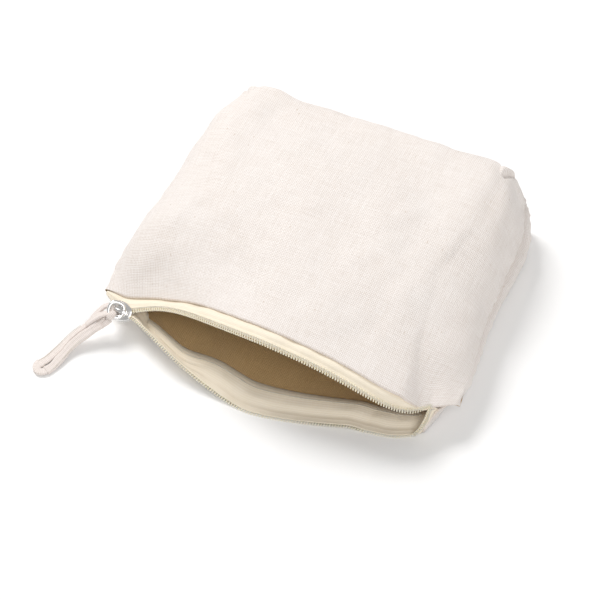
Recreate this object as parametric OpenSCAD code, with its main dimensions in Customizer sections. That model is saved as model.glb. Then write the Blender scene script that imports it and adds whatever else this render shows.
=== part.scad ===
// Canvas zip pouch lying on its back panel, mouth to -Y, zip open.
// X runs along the zip, Y from the mouth to the boxed base, Z up. Millimetres.

/* [Pouch] */
// Half width of the pouch at half length
half_w = 95.8; // [60:0.1:140]
// Sideways shift of the pouch middle line
mid_x = 1.3; // [-5:0.1:5]
// Position of the mouth corners along Y
mouth_y = -67; // [-90:1:-40]
// Position of the base face along Y
base_y = 72; // [40:1:110]
// Height of the side seams above the table
seam_h = 20; // [10:0.5:30]
// Crest height of the stuffed front panel
crest_h = 54; // [30:0.5:80]
// Height of the base face
base_h = 50; // [30:0.5:70]
// Canvas thickness
canvas_t = 1.0; // [0.6:0.1:2]
// Radius of the soft fold round the base edge
fold_r = 6; // [3:0.5:12]

/* [Mouth] */
// Left end of the zip
zip_l = -88; // [-100:1:-60]
// Right end of the zip
zip_r = 91; // [60:1:100]
// Y of the straight line between the zip ends
zip_y = -77; // [-90:1:-60]
// Height of the left zip end
zip_zl = 12; // [4:0.5:30]
// Height of the right zip end
zip_zr = 20; // [4:0.5:30]
// How far the open lips bow away from the line between the zip ends
lip_bow = 30.7; // [10:0.1:45]
// Angle between the two open lips
lip_gap = 97; // [30:1:120]

/* [Zip] */
// Visible width of each tape
tape_w = 9; // [5:0.5:15]
// Width of tape hidden under the canvas
tape_in = 5; // [2:0.5:8]
// Tape thickness
tape_t = 0.6; // [0.4:0.1:1.2]
// Coil width
coil_w = 2.6; // [1.5:0.1:4]
// Coil thickness
coil_t = 1.4; // [0.8:0.1:3]

/* [Slider] */
// How far the open slider rests from the left end of the zip
slider_from = 2.3; // [0:0.1:6]
// Slider length along the zip
slider_l = 13; // [8:0.5:18]
// Slider width across the zip
slider_w = 11.5; // [7:0.5:16]
// Gap between the two slider plates
slider_gap = 2.2; // [1.5:0.1:4]
// Slider plate thickness
plate_t = 1.2; // [0.8:0.1:2]
// Angle of the slider face above level, at rest
slider_tilt = 56; // [0:1:90]

/* [Pull] */
// Ring radius to the middle of its wire
ring_r = 4; // [3:0.1:8]
// Ring wire radius
wire_r = 0.85; // [0.5:0.05:1]
// Ring pivot, forward of the slider's middle
ring_x = 2.1; // [-2:0.1:2.1]
// Ring angle above the slider face
ring_up = 25; // [0:1:80]
// Strap leg width
leg_w = 4.8; // [3:0.1:8]
// Strap leg thickness
leg_t = 1.7; // [1:0.1:3]
// How far the strap bows sideways
strap_bow = 4.2; // [0:0.1:6]
// X of the strap tip
tip_x = -113; // [-130:1:-95]
// Y of the strap tip
tip_y = -124; // [-140:1:-100]

/* [Seams] */
// Width of the seam allowances inside
allow_w = 7; // [4:0.5:12]
// Thickness of a seam allowance
allow_t = 1.2; // [0.8:0.1:3]

/* [Build] */
// Node to draw

/* [Hidden] */
$fn = 32;
nu = 40;
wall_u = 0.80;
canvas_c = [0.96, 0.94, 0.9];
tape_c = [0.95, 0.9, 0.78];
metal_c = [0.75, 0.75, 0.76];
thread_c = [0.98, 0.97, 0.94];
corner_l = [-100, mouth_y, 12.5];
corner_r = [104.6, mouth_y, 15.5];

function clamp(a, lo, hi) = min(max(a, lo), hi);
function ease(a, b, x) = let (t = clamp((x - a) / (b - a), 0, 1)) t * t * (3 - 2 * t);
function mix(a, b, t) = a + (b - a) * t;
function unit(v) = v / max(norm(v), 1e-9);

// The zip line and the two bowed lips.
function chord_z(x) = zip_zl + (zip_zr - zip_zl) * (x - zip_l) / (zip_r - zip_l);
function bow_l(p) = (1 - pow(p, 1.4) * (1.2 - 0.2 * p)) * (1 - pow(p, 8));
function bow_r(q, side) = (1 - 0.66 * (sqrt(q * q + 0.03) - 0.1732)) * (1 - pow(q, side > 0 ? 9 : 36));
function bow(x, side) = let (s = clamp((x - zip_l) / (zip_r - zip_l), 0, 1))
  lip_bow * bow_l(clamp((0.49 - s) / 0.49, 0, 1)) * bow_r(clamp((s - 0.49) / 0.51, 0, 1), side)
  * (side > 0 ? 1 : 1 + 0.4 * ease(50, 80, x));
function lip_angle(x, side) = 66 - 0.182 * x + 0.00142 * x * x - 7.16e-5 * x * x * x
  - (side > 0 ? 0 : lip_gap - 8 * ease(60, 85, x));
function coil_at(x, side) = let (f = lip_angle(x, side), b = bow(x, side))
  [x, zip_y - b * cos(f), max(chord_z(x) + b * sin(f), side > 0 ? 0 : 0.7)];
// Near the right end the front tape tucks under the canvas, and the back one stands up.
function tape_rise(x, side) = side > 0
  ? (90 - lip_angle(x, 1)) * (1 - ease(80, 91, x)) * ease(-75, -45, x)
  : -60 * min(1, bow(x, -1) / 6) * (1 - ease(-50, -20, x)) - 96 * ease(84, 90.5, x);
function tape_k(x, side) = side > 0 ? 1 - 0.93 * ease(77, 90, x) : 1 + 0.6 * ease(86, 91, x);
function lip_at(x, side, w) = let (c = coil_at(x, side), t = tape_rise(x, side), k = tape_k(x, side),
    d = 3 * (1 - min(1, bow(x, side) / 9)) * (1 - ease(60, 80, x)), p = c + [0, w * k * cos(t), w * k * sin(t)
    + side * d * w / tape_w])
  [p[0], p[1], max(p[2], side > 0 ? 0 : 0.7)];
function mouth_x(u) = mix(corner_l[0], corner_r[0], (u + 1) / 2);
function mouth_at(u, side) = let (x = mouth_x(u), xi = clamp(x, zip_l, zip_r),
    p = lip_at(xi, side, tape_w), l = lip_at(zip_l, side, tape_w), r = lip_at(zip_r, side, tape_w),
    a = clamp((zip_l - x) / (zip_l - corner_l[0]), 0, 1),
    b = clamp((x - zip_r) / (corner_r[0] - zip_r), 0, 1),
    ea = 1 - sqrt(1 - a * a), eb = side > 0 ? 1 - sqrt(1 - b * b) : 1 - pow(1 - b, 3),
    by = side > 0 ? b : 1 - pow(1 - b, 3))
  [x, p[1] + a * (corner_l[1] - l[1]) + by * (corner_r[1] - r[1]),
   p[2] + ea * (corner_l[2] - l[2]) + eb * (corner_r[2] - r[2])];

// The body: boxy at the base, rounder towards the mouth.
function half_at(y) = half_w - 0.045 * y + 4.5 * ease(-10, -60, y) - 6.5 * ease(45, 72, y);
function seam_at(y) = seam_h - 5.5 * ease(-35, -67, y) + ease(40, 70, y);
function top_at(y) = 44 + (crest_h - 44) * ease(-72, -20, y) - (crest_h - base_h) * ease(10, 66, y);
function drop_at(y, side) = side > 0 ? top_at(y) - seam_at(y) : -seam_at(y);
function body_at(u, v, side) = let (
    a = clamp((v - 1) / 0.2, 0, 1) * 90,
    f = clamp((v - 1.2) / 0.5, 0, 1),
    y = mouth_y + (base_y - fold_r - mouth_y) * min(v, 1) + fold_r * sin(a),
    k = ease(0.3, 1, v),
    dx = clamp(u / wall_u, -1, 1),
    dz = clamp((1 - abs(u)) / (1 - wall_u), 0, 1),
    p = side > 0 ? 2.3 + 7.7 * k * k + 1.2 * (1 - k) * ease(0.2, 0.9, -u) : 10 + 6 * k,
    h = drop_at(y, side),
    g = (1 - fold_r / abs(h) * (side > 0 ? 1 : 0.7) * (1 - cos(a))) * (1 - f),
    n = pow(pow(abs(dx), p) + pow(dz, p), -1 / p),
    lean = side > 0 ? 1 - (0.03 + 0.08 * k) * dz * n : 1 + 0.035 * k * dz * n)
  [mid_x + half_at(y) * mix(dx * n * lean, u, f), y + 2 * f * (1 - u * u), seam_at(y) + h * g * dz * n];
function skin(u, v, side) = let (k = pow(1 - clamp(v / 0.48, 0, 1), 2))
  body_at(u, v, side) + (mouth_at(u, side) - body_at(u, 0, side)) * k;
function skin_normal(u, v, side) = let (e = 0.012,
    du = skin(min(u + e, 1), v, side) - skin(max(u - e, -1), v, side),
    dv = skin(u, min(v + e, 1.7), side) - skin(u, max(v - e, 0), side))
  unit(cross(du, dv)) * side;
function inside(u, v, side, t) = let (p = skin(u, v, side), n = skin_normal(u, v, side))
  abs(u) > 0.999 && v > 1.65 ? p + [-sign(u) * t, -t, 0]
  : abs(u) > 0.999 ? p + [-sign(u) * t, v > 1.15 ? -t : 0, 0]
  : v > 1.65 ? p + [0, -t, 0]
  : p - n * t;

// A closed shell from two equal grids of points.
function flat2(g) = [for (r = g) each r];
function grid_faces(nr, nc) = let (m = nr * nc) concat(
  [for (i = [0:nr - 2]) for (j = [0:nc - 2]) each
    [[i * nc + j, (i + 1) * nc + j, (i + 1) * nc + j + 1],
     [i * nc + j, (i + 1) * nc + j + 1, i * nc + j + 1]]],
  [for (i = [0:nr - 2]) for (j = [0:nc - 2]) each
    [[m + i * nc + j, m + (i + 1) * nc + j + 1, m + (i + 1) * nc + j],
     [m + i * nc + j, m + i * nc + j + 1, m + (i + 1) * nc + j + 1]]],
  [for (i = [0:nr - 2]) each
    [[i * nc, m + i * nc, m + (i + 1) * nc], [i * nc, m + (i + 1) * nc, (i + 1) * nc]]],
  [for (i = [0:nr - 2]) let (j = nc - 1) each
    [[i * nc + j, m + (i + 1) * nc + j, m + i * nc + j],
     [i * nc + j, (i + 1) * nc + j, m + (i + 1) * nc + j]]],
  [for (j = [0:nc - 2]) each
    [[j, j + 1, m + j + 1], [j, m + j + 1, m + j]]],
  [for (j = [0:nc - 2]) let (o = (nr - 1) * nc) each
    [[o + j, m + o + j + 1, o + j + 1], [o + j, m + o + j, m + o + j + 1]]]);
module shell(outer, inner, flip) {
  f = grid_faces(len(outer), len(outer[0]));
  polyhedron(points = concat(flat2(outer), flat2(inner)),
    faces = flip ? [for (t = f) [t[0], t[2], t[1]]] : f, convexity = 10);
}
// A bar of rectangular section along a path, side vectors a and b per point.
function bar_ring(p, a, b) = [p - a - b, p + a - b, p + a + b, p - a + b];
module bar(path, a, b) {
  n = len(path);
  pts = [for (i = [0:n - 1]) each bar_ring(path[i], a[i], b[i])];
  sides = [for (i = [0:n - 2]) for (k = [0:3]) let (k2 = (k + 1) % 4) each
    [[i * 4 + k, (i + 1) * 4 + k2, i * 4 + k2], [i * 4 + k, (i + 1) * 4 + k, (i + 1) * 4 + k2]]];
  o = (n - 1) * 4;
  ends = [[0, 1, 2], [0, 2, 3], [o, o + 2, o + 1], [o, o + 3, o + 2]];
  polyhedron(points = pts, faces = concat(ends, sides), convexity = 8);
}

u_rows = [for (i = [0:nu]) let (a = -1 + 2 * i / nu) mix(a, sin(90 * a), 0.45)];
v_rows = concat([for (i = [0:15]) i / 15], [1.05, 1.1, 1.15, 1.2, 1.33, 1.45, 1.58, 1.7]);

module panel(side) {
  shell([for (v = v_rows) [for (u = u_rows) skin(u, v, side)]],
    [for (v = v_rows) [for (u = u_rows) inside(u, v, side, canvas_t)]], side < 0);
}
module front_panel() {
  color(canvas_c)
    panel(1);
}
module back_panel() {
  color(canvas_c)
    panel(-1);
}

// Seam allowances stand into the pouch from each seam.
side_v = [for (i = [1:16]) 0.24 + 0.72 * i / 17];
function side_pt(v, s) = skin(s, v, 1) + [-s * (canvas_t + 0.45), 0, -0.2];
module side_allowance(s) {
  d = [-s, 0, -0.35] * allow_w / 2;
  bar([for (v = side_v) side_pt(v, s) + d], [for (v = side_v) d], [for (v = side_v) [0, 0, allow_t / 2]]);
}
module side_overlock(s) {
  d = [-s, 0, -0.35] * (allow_w + 0.45);
  bar([for (v = side_v) side_pt(v, s) + d], [for (v = side_v) [-s * 0.4, 0, 0]],
    [for (v = side_v) [0, 0, 0.9]]);
}
module side_allowance_left() {
  color(canvas_c)
    side_allowance(-1);
}
module side_allowance_right() {
  color(canvas_c)
    side_allowance(1);
}
module side_overlock_left() {
  color(thread_c)
    side_overlock(-1);
}
module side_overlock_right() {
  color(thread_c)
    side_overlock(1);
}
base_u = [for (i = [0:16]) -0.86 + 1.72 * i / 16];
function base_pt(u) = skin(u, 1.7, 1) + [0, -canvas_t - 0.05, 0];
module base_allowance() {
  d = [0, -1, -0.3] * allow_w / 2;
  color(canvas_c)
    bar([for (u = base_u) base_pt(u) + d], [for (u = base_u) d], [for (u = base_u) [0, 0, -allow_t / 2]]);
}
module base_overlock() {
  d = [0, -1, -0.3] * (allow_w + 0.45);
  color(thread_c)
    bar([for (u = base_u) base_pt(u) + d], [for (u = base_u) [0, -0.4, 0]], [for (u = base_u) [0, 0, -0.9]]);
}
// The boxed corners: a short seam across the end of each side seam.
corner_z = [for (i = [0:6]) 7 + 30 * i / 6];
function corner_in(z) = z > seam_h ? 0.36 * (z - seam_h) : 0.04 * (z - seam_h);
function corner_pt(s, z) = [mid_x + s * (half_at(base_y) - corner_in(z) - 3.4), base_y - 2.8, z];
module corner_allowance(s) {
  d = [-s, -1, 0] * 0.7 * allow_w / 2;
  bar([for (z = corner_z) corner_pt(s, z) + d], [for (z = corner_z) d],
    [for (z = corner_z) [s, -1, 0] * 0.7 * allow_t / 2 * (s > 0 ? -1 : 1)]);
}
module corner_overlock(s) {
  d = [-s, -1, 0] * 0.7 * (allow_w + 0.45);
  bar([for (z = corner_z) corner_pt(s, z) + d], [for (z = corner_z) [-s, -1, 0] * 0.28],
    [for (z = corner_z) [s, -1, 0] * 0.63 * (s > 0 ? -1 : 1)]);
}
module corner_allowance_left() {
  color(canvas_c)
    corner_allowance(-1);
}
module corner_allowance_right() {
  color(canvas_c)
    corner_allowance(1);
}
module corner_overlock_left() {
  color(thread_c)
    corner_overlock(-1);
}
module corner_overlock_right() {
  color(thread_c)
    corner_overlock(1);
}

// Tapes run from the coil to under the canvas edge.
lip_x = [for (i = [0:44]) mix(zip_l + 14, zip_r - 6.5, i / 44)];
function lip_u(x) = 2 * (x - corner_l[0]) / (corner_r[0] - corner_l[0]) - 1;
function tape_n(x, side) = let (c = tape_rise(x, side)) [0, -sin(c), cos(c)] * side;
function under(x, w, side) = let (u = lip_u(x), v = (w - tape_w) / 139)
  skin(u, v, side) - skin_normal(u, v, side) * (canvas_t + 0.4 + tape_t / 2);
function tape_row(x, w, side) = w < tape_w - 1
  ? lip_at(x, side, w) - tape_n(x, side) * (canvas_t + 0.4 + tape_t / 2) * pow(w / tape_w, 2)
  : under(x, max(w, tape_w + 0.1), side);
tape_ws = [0, 2.5, 5, 7.2, tape_w, tape_w + tape_in];
module tape(side) {
  shell([for (w = tape_ws) [for (x = lip_x) tape_row(x, w, side) + tape_n(x, side) * tape_t / 2]],
    [for (w = tape_ws) [for (x = lip_x) tape_row(x, w, side) - tape_n(x, side) * tape_t / 2]], side < 0);
}
module zip_tape_front() {
  color(tape_c)
    tape(1);
}
module zip_tape_back() {
  color(tape_c)
    tape(-1);
}
// The coil sits on the outer face of each tape edge.
function tape_side(x, side) = let (c = tape_rise(x, side)) [0, cos(c), sin(c)];
function coil_dir(x, side) = unit(coil_at(x + 0.5, side) - coil_at(x - 0.5, side));
function coil_out(x, side) = unit(cross(coil_dir(x, side), tape_side(x, side))) * side;
module coil(side) {
  lift = tape_t / 2 + coil_t / 2 + 0.1;
  bar([for (x = lip_x) coil_at(x, side) + tape_side(x, side) * (coil_w / 2 - 0.9) + coil_out(x, side) * lift],
    [for (x = lip_x) tape_side(x, side) * coil_w / 2 * side],
    [for (x = lip_x) coil_out(x, side) * coil_t / 2]);
}
module coil_front() {
  color(tape_c)
    coil(1);
}
module coil_back() {
  color(tape_c)
    coil(-1);
}
// The hidden row of sewing that joins each tape to the turned-in canvas.
function sewn_n(x, side) = skin_normal(lip_u(x), 0.02, side);
module zip_seam(side) {
  bar([for (x = lip_x) under(x, tape_w + 2.5, side) - sewn_n(x, side) * (tape_t / 2 + 0.3)],
    [for (x = lip_x) [0, 0.35, 0] * side], [for (x = lip_x) sewn_n(x, side) * 0.2 * side]);
}
module zip_seam_front() {
  color(thread_c)
    zip_seam(1);
}
module zip_seam_back() {
  color(thread_c)
    zip_seam(-1);
}

// The slider, drawn flat and then tilted at the left end of the zip.
slider_at = [zip_l + slider_from, zip_y, chord_z(zip_l + slider_from)];
module at_slider() {
  translate(slider_at)
    rotate([90 - slider_tilt, 0, 0])
      children();
}
module slider_plate() {
  linear_extrude(height = plate_t)
    hull() {
      translate([-slider_l / 2 + 2, 0])
        circle(r = 2);
      translate([-slider_l / 2 + 6, slider_w / 2 - 2])
        circle(r = 2);
      translate([-slider_l / 2 + 6, -slider_w / 2 + 2])
        circle(r = 2);
      translate([slider_l / 2 - 1.5, slider_w / 2 - 2.7])
        circle(r = 1.5);
      translate([slider_l / 2 - 1.5, -slider_w / 2 + 2.7])
        circle(r = 1.5);
    }
}
module slider_body() {
  color(metal_c)
    at_slider()
      union() {
        translate([0, 0, slider_gap / 2])
          slider_plate();
        translate([0, 0, -slider_gap / 2 - plate_t])
          slider_plate();
        translate([slider_l / 2 - 3.2, 0, -slider_gap / 2 - 0.01])
          cylinder(r = 1.4, h = slider_gap + 0.02);
      }
}
bridge_l = 8.4;
bridge_w = 1.9;
bridge_h = 3.2;
ring_gap = 0.4;
module slider_bridge() {
  color(metal_c)
    at_slider()
      translate([0, 0, slider_gap / 2 + plate_t + 0.02])
        difference() {
          translate([-bridge_l / 2, -bridge_w / 2, 0])
            cube([bridge_l, bridge_w, bridge_h]);
          translate([ring_x, 2, wire_r + ring_gap])
            rotate([90, 0, 0])
              cylinder(r = wire_r + ring_gap, h = 4);
          translate([ring_x - wire_r - ring_gap, -2, -0.5])
            cube([2 * (wire_r + ring_gap), 4, wire_r + ring_gap + 0.5]);
        }
}
pivot_h = slider_gap / 2 + plate_t + 0.02 + wire_r + ring_gap;
module at_ring() {
  at_slider()
    translate([ring_x, 0, pivot_h])
      rotate([0, ring_up, 0])
        translate([-ring_r, 0, 0])
          children();
}
module pull_ring() {
  color(metal_c)
    at_ring()
      rotate_extrude($fn = 48)
        translate([ring_r, 0])
          circle(r = wire_r, $fn = 16);
}

// The strap: a folded canvas strip looped on the ring and lying on the table.
function rx(a, v) = [v[0], v[1] * cos(a) - v[2] * sin(a), v[1] * sin(a) + v[2] * cos(a)];
function ry(a, v) = [v[0] * cos(a) + v[2] * sin(a), v[1], -v[0] * sin(a) + v[2] * cos(a)];
ring_beta = 68;
function to_ring(v) = slider_at
  + rx(90 - slider_tilt, [ring_x, 0, pivot_h] + ry(ring_up, v - [ring_r, 0, 0]));
function to_ring_dir(v) = rx(90 - slider_tilt, ry(ring_up, v));
knot_at = to_ring([-ring_r * cos(ring_beta), -ring_r * sin(ring_beta), 0]);
knot_axis = to_ring_dir([sin(ring_beta), -cos(ring_beta), 0]);
knot_r = 1.5;
loop_t = 0.9;
loop_w = 3.2;
strap_end = [tip_x, tip_y, leg_t / 2 + 0.1];
strap_dir = unit(strap_end - [knot_at[0], knot_at[1], leg_t / 2 + 0.1]);
strap_side = [strap_dir[1], -strap_dir[0], 0];
strap_from = knot_at + strap_dir * (knot_r + loop_t / 2);
function strap_mid(t) = let (p = mix(strap_from, strap_end, t)
    + strap_side * strap_bow * sin(180 * pow(clamp(t, 0, 1), 0.75)))
  [p[0], p[1], mix(strap_end[2], strap_from[2], pow(1 - t, 2.6) * (1 + 0.4 * t))];
strap_ts = [for (i = [0:22]) i / 22];
function leg_off(t) = 0.3 + (leg_w / 2 + 0.15) * ease(0, 0.22, t);
module leg(s, t0, cut) {
  ts = [for (t = strap_ts) mix(t0, 1, t)];
  bar([for (t = ts) strap_mid(t) + strap_side * s * leg_off(t)],
    [for (t = ts) strap_side * leg_w / 2],
    [for (t = ts) [0, 0, cut - leg_t / 2]]);
}
module pull_strap() {
  color(canvas_c)
    union() {
      leg(1, 0, 0);
      leg(-1, 0.017, 0.05);
      bar([strap_mid(0.93), strap_mid(1) + strap_dir * 1.2],
        [strap_side * (leg_w + 0.15), strap_side * (leg_w - 0.05)],
        [[0, 0, -leg_t / 2 + 0.1], [0, 0, -leg_t / 2 + 0.1]]);
      translate(knot_at)
        rotate([0, 0, atan2(knot_axis[1], knot_axis[0])])
          rotate([0, acos(knot_axis[2]), 0])
            difference() {
              cylinder(r = knot_r + loop_t, h = loop_w, center = true);
              cylinder(r = knot_r, h = loop_w + 1, center = true);
            }
    }
}
stitch_ts = [for (i = [0:16]) 0.3 + 0.6 * i / 16];
module strap_stitching() {
  color(thread_c)
    for (s = [-1, 1])
      bar([for (t = stitch_ts) strap_mid(t) + strap_side * s * (leg_off(t) + leg_w / 2 - 0.9)
          + [0, 0, leg_t / 2 + 0.17]],
        [for (t = stitch_ts) strap_side * 0.22],
        [for (t = stitch_ts) [0, 0, -0.15]]);
}

front_panel();
back_panel();
side_allowance_left();
side_allowance_right();
base_allowance();
corner_allowance_left();
corner_allowance_right();
side_overlock_left();
side_overlock_right();
base_overlock();
corner_overlock_left();
corner_overlock_right();
zip_tape_front();
zip_tape_back();
coil_front();
coil_back();
zip_seam_front();
zip_seam_back();
slider_body();
slider_bridge();
pull_ring();
pull_strap();
strap_stitching();
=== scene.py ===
# Canvas zip pouch: the looks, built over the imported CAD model.
import math

import bpy
import numpy as np
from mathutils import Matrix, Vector


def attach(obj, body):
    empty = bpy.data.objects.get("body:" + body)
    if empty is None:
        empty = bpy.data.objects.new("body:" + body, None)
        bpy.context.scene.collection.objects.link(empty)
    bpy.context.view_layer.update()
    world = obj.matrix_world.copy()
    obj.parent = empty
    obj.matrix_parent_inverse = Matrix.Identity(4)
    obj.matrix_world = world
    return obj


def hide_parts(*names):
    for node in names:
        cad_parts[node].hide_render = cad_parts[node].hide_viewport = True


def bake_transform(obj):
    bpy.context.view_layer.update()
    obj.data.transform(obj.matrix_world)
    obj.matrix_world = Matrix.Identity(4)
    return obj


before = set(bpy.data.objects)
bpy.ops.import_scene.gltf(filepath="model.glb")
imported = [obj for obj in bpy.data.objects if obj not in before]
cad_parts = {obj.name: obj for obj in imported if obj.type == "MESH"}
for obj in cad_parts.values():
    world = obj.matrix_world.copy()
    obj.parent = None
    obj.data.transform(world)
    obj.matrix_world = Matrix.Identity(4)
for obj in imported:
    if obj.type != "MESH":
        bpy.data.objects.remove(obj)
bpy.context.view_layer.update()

MM = 0.001

# ---------------------------------------------------------------- camera
AIM = np.array([-5.3, -23.0, 0.0]) * MM
TURN = math.radians(23.33)
RISE = math.radians(51.26)
AWAY = 2.0845
cam_data = bpy.data.cameras.new("camera")
cam = bpy.data.objects.new("camera", cam_data)
bpy.context.scene.collection.objects.link(cam)
bpy.context.scene.camera = cam
TO_CAM = np.array([math.cos(RISE) * math.sin(TURN), -math.cos(RISE) * math.cos(TURN), math.sin(RISE)])
cam.location = Vector(AIM + TO_CAM * AWAY)
cam.rotation_euler = Vector(-TO_CAM).to_track_quat("-Z", "Y").to_euler()
cam_data.sensor_width = 36
cam_data.lens = 232.3
cam_data.clip_start = 0.05
cam_data.clip_end = 20

# ---------------------------------------------------------------- shape, in mm, as in the CAD source
HALF_W, MID_X, MOUTH_Y, BASE_Y, FOLD_R = 95.8, 1.3, -67.0, 72.0, 6.0
SEAM_H, CREST_H, BASE_H = 20.0, 54.0, 50.0
ZIP_L, ZIP_R, ZIP_Y, ZIP_ZL, ZIP_ZR = -88.0, 91.0, -77.0, 12.0, 20.0
LIP_BOW, LIP_GAP, TAPE_W, WALL_U = 30.7, 97.0, 9.0, 0.8
CORNER_L = np.array([-100.0, MOUTH_Y, 12.5])
CORNER_R = np.array([104.6, MOUTH_Y, 15.5])
CANVAS_T = 1.0
# across a panel u runs from -1 to 1; down it v is 0 at the mouth,
# CORNER_V at the boxed corner's seam and BASE_V at the base seam
CORNER_V, BASE_V = 1.2, 1.7
# about how many mm of cloth one unit of u and one of v are
U_MM, V_MM = 105, 135
COVER, TAPE_T = 1.75, 0.5
ALLOWANCE_W, OVERLOCK_STEP = 6.2, 2.2
# side is 1 for the front panel, lip or tape and -1 for the back one


def ease(a, b, x):
    """A smooth step: 0 at a, 1 at b."""
    t = np.clip((np.asarray(x, float) - a) / (b - a), 0, 1)
    return t * t * (3 - 2 * t)


def xyz(x, y, z):
    """Points from x, y and z, which are numbers or arrays."""
    x, y, z = np.broadcast_arrays(x, y, z)
    return np.stack([x, y, z], -1).astype(float)


def chord_z(x):
    """Height of the straight line between the zip's two ends."""
    return ZIP_ZL + (ZIP_ZR - ZIP_ZL) * (x - ZIP_L) / (ZIP_R - ZIP_L)


def bow(x, side):
    """How far a toothed edge bows away from that line."""
    s = np.clip((x - ZIP_L) / (ZIP_R - ZIP_L), 0, 1)
    p, q = np.clip((0.49 - s) / 0.49, 0, 1), np.clip((s - 0.49) / 0.51, 0, 1)
    left = (1 - p**1.4 * (1.2 - 0.2 * p)) * (1 - p**8)
    right = (1 - 0.66 * (np.sqrt(q * q + 0.03) - 0.1732)) * (1 - q ** (9 if side > 0 else 36))
    return LIP_BOW * left * right * (1 if side > 0 else 1 + 0.4 * ease(50, 80, x))


def lip_angle(x, side):
    """Which way a toothed edge bows, in degrees: 0 is level, out of the mouth, and 90 is up."""
    turned = 66 - 0.182 * x + 0.00142 * x * x - 7.16e-5 * x**3
    return turned if side > 0 else turned - LIP_GAP + 8 * ease(60, 85, x)


def coil_at(x, side):
    """The toothed edge between the zip's ends."""
    f, b = np.radians(lip_angle(x, side)), bow(x, side)
    z = np.maximum(chord_z(x) + b * np.sin(f), 0 if side > 0 else 0.7)
    return xyz(x, ZIP_Y - b * np.cos(f), z)


def tape_rise(x, side):
    """Near the right end the front tape tucks under the canvas, and the back one stands up."""
    if side < 0:
        flat = -60 * np.minimum(1, bow(x, -1) / 6) * (1 - ease(-50, -20, x))
        return flat - 96 * ease(84, 90.5, x)
    return (90 - lip_angle(x, 1)) * (1 - ease(80, 91, x)) * ease(-75, -45, x)


def tape_k(x, side):
    """Factor on the width in view: near the right end the front tape narrows and the back one widens."""
    return 1 - 0.93 * ease(77, 90, x) if side > 0 else 1 + 0.6 * ease(86, 91, x)


def lip_at(x, side, w):
    """A point on a tape, w from its toothed edge."""
    t, k = np.radians(tape_rise(x, side)), tape_k(x, side)
    d = 3 * (1 - np.minimum(1, bow(x, side) / 9)) * (1 - ease(60, 80, x))
    p = coil_at(x, side) + xyz(0 * x, w * k * np.cos(t), w * k * np.sin(t) + side * d * w / TAPE_W)
    p[..., 2] = np.maximum(p[..., 2], 0 if side > 0 else 0.7)
    return p


def mouth_x(u):
    """The mouth edge's x at u."""
    return CORNER_L[0] + (CORNER_R[0] - CORNER_L[0]) * (u + 1) / 2


def lip_u(x):
    """The u of the mouth edge at x."""
    return 2 * (x - CORNER_L[0]) / (CORNER_R[0] - CORNER_L[0]) - 1


def mouth_at(u, side):
    """The canvas edge at the mouth, from corner to corner."""
    x = mouth_x(u)
    p = lip_at(np.clip(x, ZIP_L, ZIP_R), side, TAPE_W)
    l, r = lip_at(np.array(ZIP_L), side, TAPE_W), lip_at(np.array(ZIP_R), side, TAPE_W)
    a = np.clip((ZIP_L - x) / (ZIP_L - CORNER_L[0]), 0, 1)
    b = np.clip((x - ZIP_R) / (CORNER_R[0] - ZIP_R), 0, 1)
    ea = 1 - np.sqrt(1 - a * a)
    eb = 1 - np.sqrt(1 - b * b) if side > 0 else 1 - (1 - b) ** 3
    y = p[..., 1] + a * (CORNER_L[1] - l[1]) + (b if side > 0 else eb) * (CORNER_R[1] - r[1])
    z = p[..., 2] + ea * (CORNER_L[2] - l[2]) + eb * (CORNER_R[2] - r[2])
    return xyz(x, y, z)


def half_at(y):
    """Half the pouch's width at y."""
    return HALF_W - 0.045 * y + 4.5 * ease(-10, -60, y) - 6.5 * ease(45, 72, y)


def seam_at(y):
    """Height of the side seams at y."""
    return SEAM_H - 5.5 * ease(-35, -67, y) + ease(40, 70, y)


def top_at(y):
    """Height of the crest at y."""
    return 44 + (CREST_H - 44) * ease(-72, -20, y) - (CREST_H - BASE_H) * ease(10, 66, y)


def body_at(u, v, side):
    """A plain panel, before the mouth pulls on it."""
    a = np.clip((v - 1) / 0.2, 0, 1) * math.pi / 2
    f = np.clip((v - CORNER_V) / (BASE_V - CORNER_V), 0, 1)
    y = MOUTH_Y + (BASE_Y - FOLD_R - MOUTH_Y) * np.minimum(v, 1) + FOLD_R * np.sin(a)
    k = ease(0.3, 1, v)
    dx, dz = np.clip(u / WALL_U, -1, 1), np.clip((1 - np.abs(u)) / (1 - WALL_U), 0, 1)
    if side > 0:
        p = 2.3 + 7.7 * k * k + 1.2 * (1 - k) * ease(0.2, 0.9, -u)
        h, g0, lean = top_at(y) - seam_at(y), 1.0, -(0.03 + 0.08 * k)
    else:
        p, h, g0, lean = 10 + 6 * k, -seam_at(y), 0.7, 0.035 * k
    g = (1 - FOLD_R / np.abs(h) * g0 * (1 - np.cos(a))) * (1 - f)
    n = (np.abs(dx) ** p + dz**p) ** (-1 / p)
    wide = dx * n * (1 + lean * dz * n)
    x = MID_X + half_at(y) * (wide + (u - wide) * f)
    return xyz(x, y + 2 * f * (1 - u * u), seam_at(y) + h * g * dz * n)


def pull_table(side):
    """How far the mouth pulls the panel's edge off the plain body, smoothed across the panel."""
    u = np.linspace(-1, 1, 401)
    pull = mouth_at(u, side) - body_at(u, 0 * u, side)
    reach, width = 70, 28.0
    g = np.exp(-((np.arange(-reach, reach + 1) / width) ** 2))
    g /= g.sum()
    wide = np.pad(pull, ((reach, reach), (0, 0)), mode="reflect", reflect_type="odd")
    return u, np.stack([np.convolve(wide[:, i], g, mode="valid") for i in range(3)], -1)


PULLS = {side: pull_table(side) for side in (1, -1)}


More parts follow.
